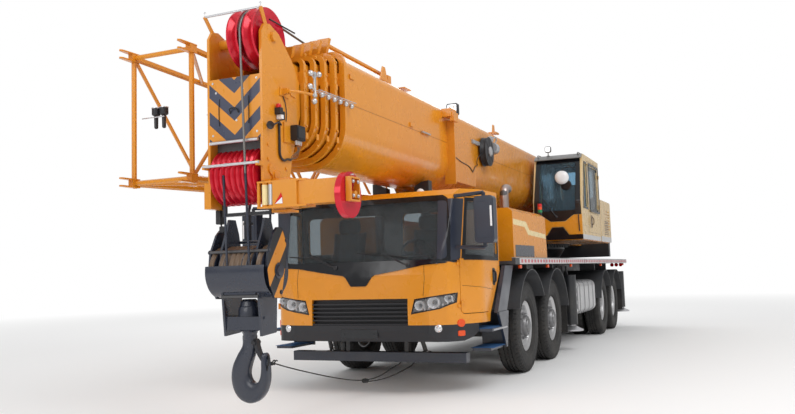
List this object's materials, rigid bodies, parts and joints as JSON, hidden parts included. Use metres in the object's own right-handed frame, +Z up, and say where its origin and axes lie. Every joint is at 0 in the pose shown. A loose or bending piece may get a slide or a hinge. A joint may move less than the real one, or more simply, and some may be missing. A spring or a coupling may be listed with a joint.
{
  "type": "mobile crane",
  "caption": "Truck-mounted telescopic crane on a wheeled carrier: driver's cab, slewing upper with operator's cab, nested boom, stowed lattice jib, outriggers and hook block.",
  "frame": {"origin": "on the ground, on the centreline, midway along the machine", "axes": "+X forward, +Y to the driver's left, +Z up"},
  "size_m": [13.83, 3.25, 3.823],
  "materials": {
    "boom_yellow": "gloss",
    "body_yellow": "gloss",
    "pale_cream": "satin",
    "dark_frame": "satin",
    "black_trim": "satin",
    "grey_deck": "satin",
    "hook_blue": "satin",
    "sheave_red": "gloss",
    "steel": "satin",
    "chrome": "polished",
    "engine_iron": "rough",
    "tyre": "matte",
    "window_glass": "clear",
    "lamp_clear": "gloss",
    "seat_fabric": "woven",
    "rope_black": "woven"
  },
  "bodies": {
    "carrier": {"chassis": "dark_frame", "deck": "grey_deck", "steps": "hook_blue", "cab_shell": "body_yellow", "cab_roof": "body_yellow", "cab_glass": "window_glass", "bumper": "black_trim", "lamps": "lamp_clear", "seats": "seat_fabric", "mirrors": "black_trim", "engine_hood": "body_yellow", "engine": "engine_iron", "axles": "dark_frame", "tanks": "dark_frame", "tether_rope": "rope_black", "tether_leg": "rope_black", "tether_ferrule": "steel"},
    "upper": {"turntable": "boom_yellow", "counterweight": "boom_yellow", "tail_box": "pale_cream", "operator_cab": "pale_cream", "operator_glass": "window_glass", "operator_seat": "seat_fabric"},
    "operator_door": {"operator_door": "pale_cream"},
    "cab_door_left": {"cab_door_left": "body_yellow"},
    "cab_door_right": {"cab_door_right": "body_yellow"},
    "boom": {"boom_base": "boom_yellow", "jib": "boom_yellow"},
    "section_2": {"section_2": "boom_yellow"},
    "section_3": {"section_3": "boom_yellow"},
    "section_4": {"section_4": "boom_yellow"},
    "section_5": {"section_5": "boom_yellow"},
    "head": {"boom_head": "boom_yellow", "head_sheaves": "sheave_red"},
    "nose_arm": {"nose_arm": "boom_yellow"},
    "luff_barrel": {"luff_barrel": "boom_yellow"},
    "luff_rod": {"luff_rod": "chrome"},
    "hang": {"limit_weight": "dark_frame"},
    "hook_block": {"hook_block": "hook_blue"},
    "hook": {"hook": "hook_blue"},
    "knuckle_1_left": {"knuckle_1_left": "dark_frame"},
    "wheel_1_left": {"wheel_1_left": "tyre"},
    "knuckle_1_right": {"knuckle_1_right": "dark_frame"},
    "wheel_1_right": {"wheel_1_right": "tyre"},
    "knuckle_2_left": {"knuckle_2_left": "dark_frame"},
    "wheel_2_left": {"wheel_2_left": "tyre"},
    "knuckle_2_right": {"knuckle_2_right": "dark_frame"},
    "wheel_2_right": {"wheel_2_right": "tyre"},
    "wheel_3_left": {"wheel_3_left": "tyre"},
    "wheel_3_right": {"wheel_3_right": "tyre"},
    "wheel_4_left": {"wheel_4_left": "tyre"},
    "wheel_4_right": {"wheel_4_right": "tyre"},
    "outrigger_beam_front_left": {"outrigger_beam_front_left": "dark_frame"},
    "outrigger_jack_front_left": {"outrigger_jack_front_left": "steel"},
    "outrigger_beam_front_right": {"outrigger_beam_front_right": "dark_frame"},
    "outrigger_jack_front_right": {"outrigger_jack_front_right": "steel"},
    "outrigger_beam_rear_left": {"outrigger_beam_rear_left": "dark_frame"},
    "outrigger_jack_rear_left": {"outrigger_jack_rear_left": "steel"},
    "outrigger_beam_rear_right": {"outrigger_beam_rear_right": "dark_frame"},
    "outrigger_jack_rear_right": {"outrigger_jack_rear_right": "steel"}
  },
  "joints": [
    {"name": "steer_1_left", "type": "hinge", "parent": "carrier", "child": "knuckle_1_left", "pos_m": [2.03, 0.96, 0.612], "axis": [0, 0, 1], "range_deg": [-35, 35]},
    {"name": "spin_1_left", "type": "hinge", "parent": "knuckle_1_left", "child": "wheel_1_left", "pos_m": [2.03, 1.207, 0.612], "axis": [0, 1, 0], "continuous": true},
    {"name": "steer_1_right", "type": "hinge", "parent": "carrier", "child": "knuckle_1_right", "pos_m": [2.03, -0.96, 0.612], "axis": [0, 0, 1], "range_deg": [-35, 35]},
    {"name": "spin_1_right", "type": "hinge", "parent": "knuckle_1_right", "child": "wheel_1_right", "pos_m": [2.03, -1.207, 0.612], "axis": [0, 1, 0], "continuous": true},
    {"name": "steer_2_left", "type": "hinge", "parent": "carrier", "child": "knuckle_2_left", "pos_m": [0.46, 0.96, 0.612], "axis": [0, 0, 1], "range_deg": [-24.5, 24.5]},
    {"name": "spin_2_left", "type": "hinge", "parent": "knuckle_2_left", "child": "wheel_2_left", "pos_m": [0.46, 1.207, 0.612], "axis": [0, 1, 0], "continuous": true},
    {"name": "steer_2_right", "type": "hinge", "parent": "carrier", "child": "knuckle_2_right", "pos_m": [0.46, -0.96, 0.612], "axis": [0, 0, 1], "range_deg": [-24.5, 24.5]},
    {"name": "spin_2_right", "type": "hinge", "parent": "knuckle_2_right", "child": "wheel_2_right", "pos_m": [0.46, -1.207, 0.612], "axis": [0, 1, 0], "continuous": true},
    {"name": "spin_3_left", "type": "hinge", "parent": "carrier", "child": "wheel_3_left", "pos_m": [-4.135, 1.032, 0.612], "axis": [0, 1, 0], "continuous": true},
    {"name": "spin_3_right", "type": "hinge", "parent": "carrier", "child": "wheel_3_right", "pos_m": [-4.135, -1.032, 0.612], "axis": [0, 1, 0], "continuous": true},
    {"name": "spin_4_left", "type": "hinge", "parent": "carrier", "child": "wheel_4_left", "pos_m": [-5.584, 1.032, 0.612], "axis": [0, 1, 0], "continuous": true},
    {"name": "spin_4_right", "type": "hinge", "parent": "carrier", "child": "wheel_4_right", "pos_m": [-5.584, -1.032, 0.612], "axis": [0, 1, 0], "continuous": true},
    {"name": "beam_front_left", "type": "slide", "parent": "carrier", "child": "outrigger_beam_front_left", "axis": [0, 1, 0], "range_m": [0, 2.05]},
    {"name": "jack_front_left", "type": "slide", "parent": "outrigger_beam_front_left", "child": "outrigger_jack_front_left", "axis": [0, 0, -1], "range_m": [0, 0.33]},
    {"name": "beam_front_right", "type": "slide", "parent": "carrier", "child": "outrigger_beam_front_right", "axis": [0, -1, 0], "range_m": [0, 2.05]},
    {"name": "jack_front_right", "type": "slide", "parent": "outrigger_beam_front_right", "child": "outrigger_jack_front_right", "axis": [0, 0, -1], "range_m": [0, 0.33]},
    {"name": "beam_rear_left", "type": "slide", "parent": "carrier", "child": "outrigger_beam_rear_left", "axis": [0, 1, 0], "range_m": [0, 2.05]},
    {"name": "jack_rear_left", "type": "slide", "parent": "outrigger_beam_rear_left", "child": "outrigger_jack_rear_left", "axis": [0, 0, -1], "range_m": [0, 0.33]},
    {"name": "beam_rear_right", "type": "slide", "parent": "carrier", "child": "outrigger_beam_rear_right", "axis": [0, -1, 0], "range_m": [0, 2.05]},
    {"name": "jack_rear_right", "type": "slide", "parent": "outrigger_beam_rear_right", "child": "outrigger_jack_rear_right", "axis": [0, 0, -1], "range_m": [0, 0.33]},
    {"name": "door_left", "type": "hinge", "parent": "carrier", "child": "cab_door_left", "pos_m": [4.237, 1.184, 1.48], "axis": [0, 0, -1], "range_deg": [0, 55]},
    {"name": "door_right", "type": "hinge", "parent": "carrier", "child": "cab_door_right", "pos_m": [4.237, -1.184, 1.48], "axis": [0, 0, 1], "range_deg": [0, 55]},
    {"name": "slew", "type": "hinge", "parent": "carrier", "child": "upper", "pos_m": [-3.67, 0, 1.86], "axis": [0, 0, 1], "continuous": true},
    {"name": "door_operator", "type": "hinge", "parent": "upper", "child": "operator_door", "pos_m": [-3.643, 1.468, 2.6], "axis": [0, 0, 1], "range_deg": [0, 95]},
    {"name": "luff", "type": "hinge", "parent": "upper", "child": "boom", "pos_m": [-5.35, 0, 2.95], "axis": [0, -1, 0], "range_deg": [0, 80]},
    {"name": "luff_barrel", "type": "hinge", "parent": "upper", "child": "luff_barrel", "pos_m": [-2.6, 0, 2.21], "axis": [0, -1, 0], "range_deg": [0, 94.1]},
    {"name": "luff_rod", "type": "slide", "parent": "luff_barrel", "child": "luff_rod", "axis": [0.9997, 0, 0.0255], "range_m": [0, 3.31]},
    {"name": "telescope_2", "type": "slide", "parent": "boom", "child": "section_2", "axis": [1, 0, 0], "range_m": [0, 8.4]},
    {"name": "telescope_3", "type": "slide", "parent": "section_2", "child": "section_3", "axis": [1, 0, 0], "range_m": [0, 8.4]},
    {"name": "telescope_4", "type": "slide", "parent": "section_3", "child": "section_4", "axis": [1, 0, 0], "range_m": [0, 8.4]},
    {"name": "telescope_5", "type": "slide", "parent": "section_4", "child": "section_5", "axis": [1, 0, 0], "range_m": [0, 8.4]},
    {"name": "telescope_6", "type": "slide", "parent": "section_5", "child": "head", "axis": [1, 0, 0], "range_m": [0, 8.4]},
    {"name": "nose_swing", "type": "hinge", "parent": "head", "child": "nose_arm", "pos_m": [6.62, 0.42, 2.09], "axis": [0, 0, 1], "range_deg": [0, 90]},
    {"name": "hook_hang", "type": "hinge", "parent": "head", "child": "hang", "pos_m": [6.63, 0, 2.285], "axis": [0, -1, 0], "range_deg": [-80, 0]},
    {"name": "hoist", "type": "slide", "parent": "hang", "child": "hook_block", "axis": [0, 0, -1], "range_m": [0, 0.3]},
    {"name": "hook_swivel", "type": "hinge", "parent": "hook_block", "child": "hook", "pos_m": [6.63, 0, 0.97], "axis": [0, 0, 1], "continuous": true}
  ],
  "couplings": [
    {"joint": "steer_1_right", "follows": "steer_1_left", "ratio": 1},
    {"joint": "steer_2_left", "follows": "steer_1_left", "ratio": 0.7},
    {"joint": "steer_2_right", "follows": "steer_1_left", "ratio": 0.7},
    {"joint": "luff_barrel", "follows": "luff", "ratio": 1.1739},
    {"joint": "luff_rod", "follows": "luff", "m_per_rad": 2.3635},
    {"joint": "hook_hang", "follows": "luff", "ratio": -1},
    {"joint": "telescope_3", "follows": "telescope_2", "ratio": 1},
    {"joint": "telescope_4", "follows": "telescope_2", "ratio": 1},
    {"joint": "telescope_5", "follows": "telescope_2", "ratio": 1},
    {"joint": "telescope_6", "follows": "telescope_2", "ratio": 1}
  ]
}
